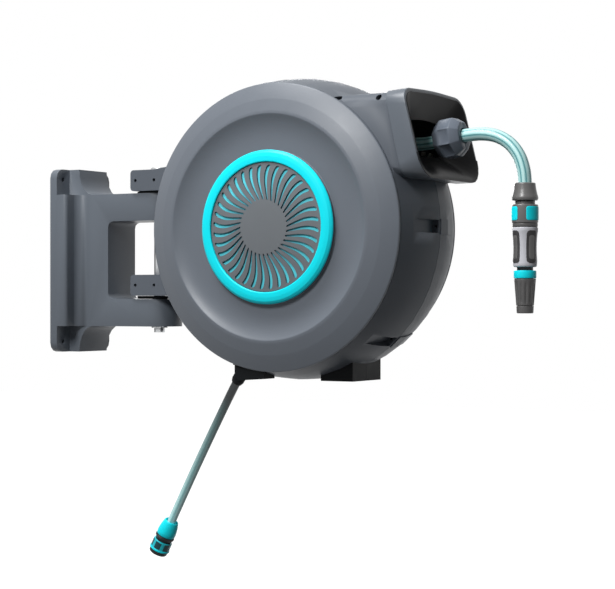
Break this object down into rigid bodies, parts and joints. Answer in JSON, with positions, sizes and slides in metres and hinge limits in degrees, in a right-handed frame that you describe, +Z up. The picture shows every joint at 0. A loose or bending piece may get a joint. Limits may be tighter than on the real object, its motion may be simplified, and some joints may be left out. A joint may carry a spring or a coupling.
{
  "type": "retractable garden hose reel",
  "caption": "Drum-shaped retractable garden hose reel on a swivel wall bracket, with a hose, stop ball and spray nozzle at its mouth and a supply hose below.",
  "frame": {"origin": "centre of the wall plate's back face", "axes": "+X away from the wall, -Y the side of the front cover, +Z up"},
  "size_m": [0.7688, 0.2316, 0.6852],
  "materials": {
    "grey_plastic": "satin blue-grey moulded plastic",
    "dark_plastic": "near-black moulded plastic",
    "cyan_plastic": "bright cyan plastic with a soft gloss",
    "pale_plastic": "light grey moulded plastic",
    "teal_hose": "pale teal hose with dark stripes, soft sheen",
    "dark_hose": "dark grey-green hose, soft sheen",
    "steel": "plain bright steel",
    "brass": "turned brass",
    "bearing_plastic": "off-white slippery plastic"
  },
  "bodies": {
    "bracket": {"wall_bracket": "grey_plastic", "upper_bush": "bearing_plastic", "lower_bush": "bearing_plastic"},
    "housing": {"pivot_pin": "steel", "pin_clip": "steel", "front_shell": "grey_plastic", "rear_shell": "grey_plastic", "front_cover": "grey_plastic", "front_trim_ring": "cyan_plastic", "front_grille": "grey_plastic", "front_grille_backing": "cyan_plastic", "rear_cover": "grey_plastic", "rear_trim_ring": "cyan_plastic", "rear_cap": "grey_plastic", "mouth_frame": "grey_plastic", "fixed_axle": "brass", "inlet_elbow": "dark_plastic", "supply_hose_gland": "dark_plastic", "supply_hose_inside": "dark_hose", "idler_pin": "steel", "pawl_pin": "steel", "guide_rod": "steel", "hose_to_guide": "teal_hose", "hose_to_stopper": "teal_hose", "hose_tail": "teal_hose", "stopper_front_half": "grey_plastic", "stopper_rear_half": "grey_plastic", "hose_nut": "grey_plastic", "hose_connector_body": "dark_plastic", "supply_hose": "dark_hose", "supply_hose_nut": "cyan_plastic", "supply_connector_body": "dark_plastic"},
    "drum": {"drum_core": "dark_plastic", "drum_front_flange": "dark_plastic", "spring_lid": "steel", "front_drum_bush": "bearing_plastic", "rear_drum_bush": "bearing_plastic", "rotary_union": "brass", "main_spring": "steel", "drum_gear": "bearing_plastic", "ratchet_wheel": "steel", "inner_hose_layers": "teal_hose", "wound_hose": "teal_hose"},
    "idler": {"idler_gear": "bearing_plastic"},
    "screw": {"cross_screw": "steel", "cross_screw_gear": "bearing_plastic"},
    "carriage": {"guide_carriage": "bearing_plastic"},
    "pawl": {"ratchet_pawl": "steel"},
    "release_collar": {"release_collar": "cyan_plastic"},
    "nozzle": {"nozzle_body": "pale_plastic"},
    "tip": {"nozzle_ring": "cyan_plastic", "nozzle_tip": "dark_plastic"},
    "supply_collar": {"supply_release_collar": "cyan_plastic"}
  },
  "joints": [
    {"name": "swivel", "type": "hinge", "parent": "bracket", "child": "housing", "pos_m": [0.156, 0, 0], "axis": [0, 0, 1], "range_deg": [-90, 90]},
    {"name": "drum_spin", "type": "hinge", "parent": "housing", "child": "drum", "pos_m": [0.413, 0, 0.0406], "axis": [0, 1, 0], "continuous": true},
    {"name": "idler_spin", "type": "hinge", "parent": "housing", "child": "idler", "pos_m": [0.48878, 0, 0.08435], "axis": [0, 1, 0], "continuous": true},
    {"name": "cross_screw_spin", "type": "hinge", "parent": "housing", "child": "screw", "pos_m": [0.56152, 0, 0.12635], "axis": [0, 1, 0], "continuous": true},
    {"name": "carriage_slide", "type": "slide", "parent": "housing", "child": "carriage", "axis": [0, 1, 0], "range_m": [-0.044, 0.044], "deforming": ["hose_to_guide", "hose_to_stopper"]},
    {"name": "pawl_swing", "type": "hinge", "parent": "housing", "child": "pawl", "pos_m": [0.37605, 0, -0.02533], "axis": [0, 1, 0], "range_deg": [0, 8], "stiffness_Nm_per_rad": 0.05, "springref_deg": -11.46},
    {"name": "release_collar_slide", "type": "slide", "parent": "housing", "child": "release_collar", "axis": [0, 0, 1], "range_m": [0, 0.004], "stiffness_N_per_m": 600, "springref_m": -0.003},
    {"name": "nozzle_spin", "type": "hinge", "parent": "housing", "child": "nozzle", "pos_m": [0.751, 0, 0.0372], "axis": [0, 0, 1], "continuous": true},
    {"name": "nozzle_twist", "type": "hinge", "parent": "nozzle", "child": "tip", "pos_m": [0.751, 0, -0.031], "axis": [0, 0, 1], "range_deg": [-90, 90]},
    {"name": "supply_collar_slide", "type": "slide", "parent": "housing", "child": "supply_collar", "axis": [0.4666, 0, 0.8844], "range_m": [0, 0.0035], "stiffness_N_per_m": 600, "springref_m": -0.003}
  ],
  "couplings": [
    {"joint": "idler_spin", "follows": "drum_spin", "ratio": -0.38889},
    {"joint": "cross_screw_spin", "follows": "drum_spin", "ratio": 1.1667}
  ]
}
